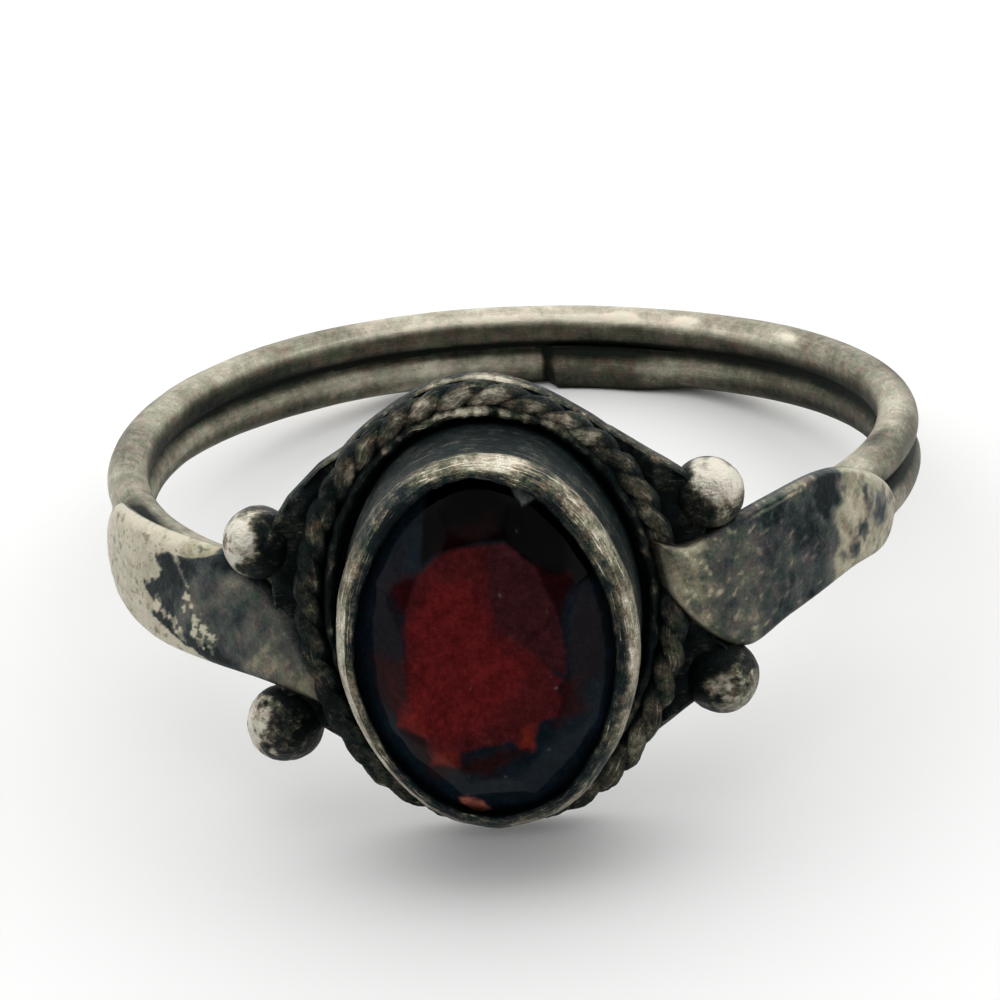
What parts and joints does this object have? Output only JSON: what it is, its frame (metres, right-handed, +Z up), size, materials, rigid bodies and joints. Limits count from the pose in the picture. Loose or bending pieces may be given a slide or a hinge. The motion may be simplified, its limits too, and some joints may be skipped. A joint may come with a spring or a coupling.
{
  "type": "garnet ring",
  "caption": "Worn silver finger ring with an oval faceted stone in a closed bezel, a twisted-wire border, small balls and leaf shoulders on a wire band.",
  "frame": {"origin": "on the ground under the middle of the bounding box, with the ring lying on its side", "axes": "-Y towards the stone, +Z up; the finger hole's axis leans 13.5 degrees from +Z towards +Y"},
  "size_m": [0.0192, 0.0228, 0.0107],
  "materials": {
    "silver": "worn silver, oxidised dark in the recesses",
    "garnet": "polished, faceted"
  },
  "bodies": {
    "root": {"silver_mount": "silver", "garnet": "garnet"}
  },
  "joints": []
}
